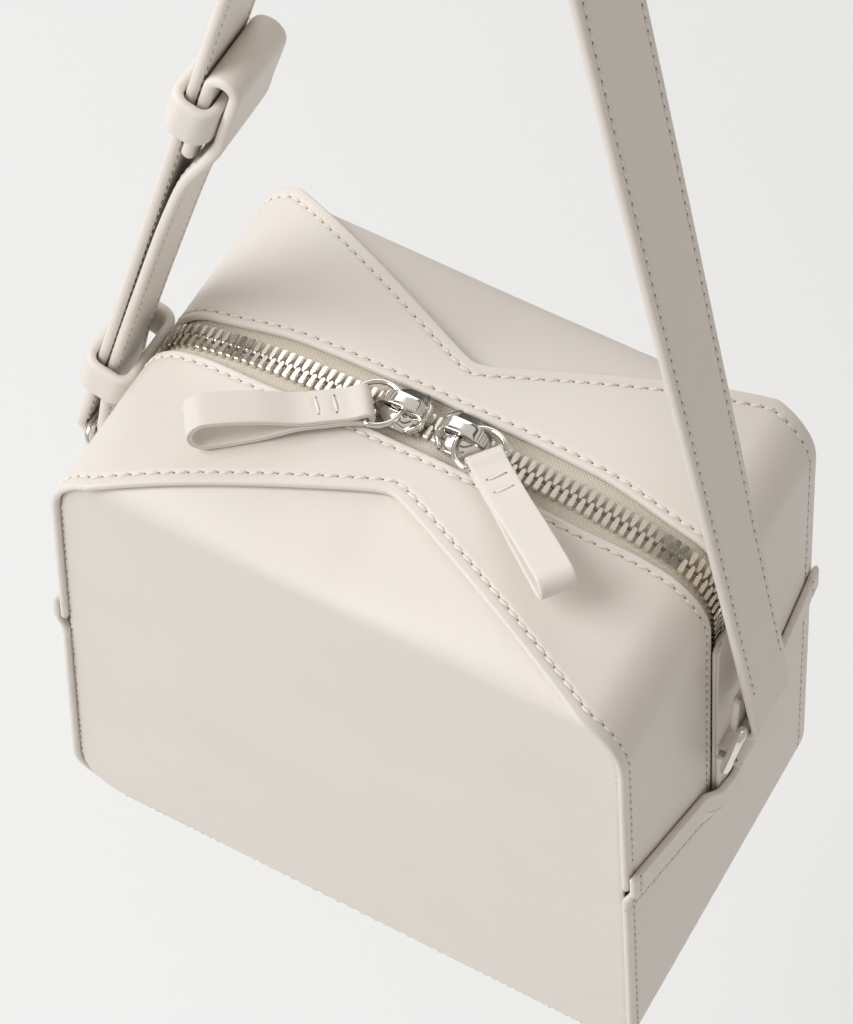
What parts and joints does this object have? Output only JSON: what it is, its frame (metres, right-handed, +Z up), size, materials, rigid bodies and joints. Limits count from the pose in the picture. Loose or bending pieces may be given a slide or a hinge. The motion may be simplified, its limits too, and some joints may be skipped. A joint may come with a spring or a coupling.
{
  "type": "box bag",
  "caption": "Small cream leather box bag with an arched zip top, folded front and back, sewn leather pulls and an adjustable shoulder strap on metal rings, hanging by its strap.",
  "frame": {"origin": "where the bag hangs: the inner side of the strap's top bend, on the bag's mid-plane", "axes": "+Z up along the hanging strap, +X along the bag towards the end where the strap is plain, +Y from the front panel to the back panel"},
  "size_m": [0.2242, 0.117, 0.5031],
  "materials": {
    "leather": "smooth cream leather with a soft sheen, thread of the same colour",
    "zip_tape": "fine woven zip tape in beige",
    "metal": "bright silver-coloured plating, smooth"
  },
  "bodies": {
    "root": {"front_panel": "leather", "back_panel": "leather", "top_gusset_front": "leather", "top_gusset_back": "leather", "base_gusset": "leather", "pull_loop_left": "leather", "pull_loop_right": "leather", "ring_tab_right": "leather", "ring_tab_left": "leather", "strap": "leather", "keeper_upper": "leather", "keeper_lower": "leather", "zip_tape_front": "zip_tape", "zip_tape_back": "zip_tape", "zip_chain": "metal", "zip_slider_left": "metal", "zip_slider_right": "metal", "pull_ring_left": "metal", "pull_ring_right": "metal", "strap_ring_right": "metal", "strap_ring_left": "metal"}
  },
  "joints": []
}
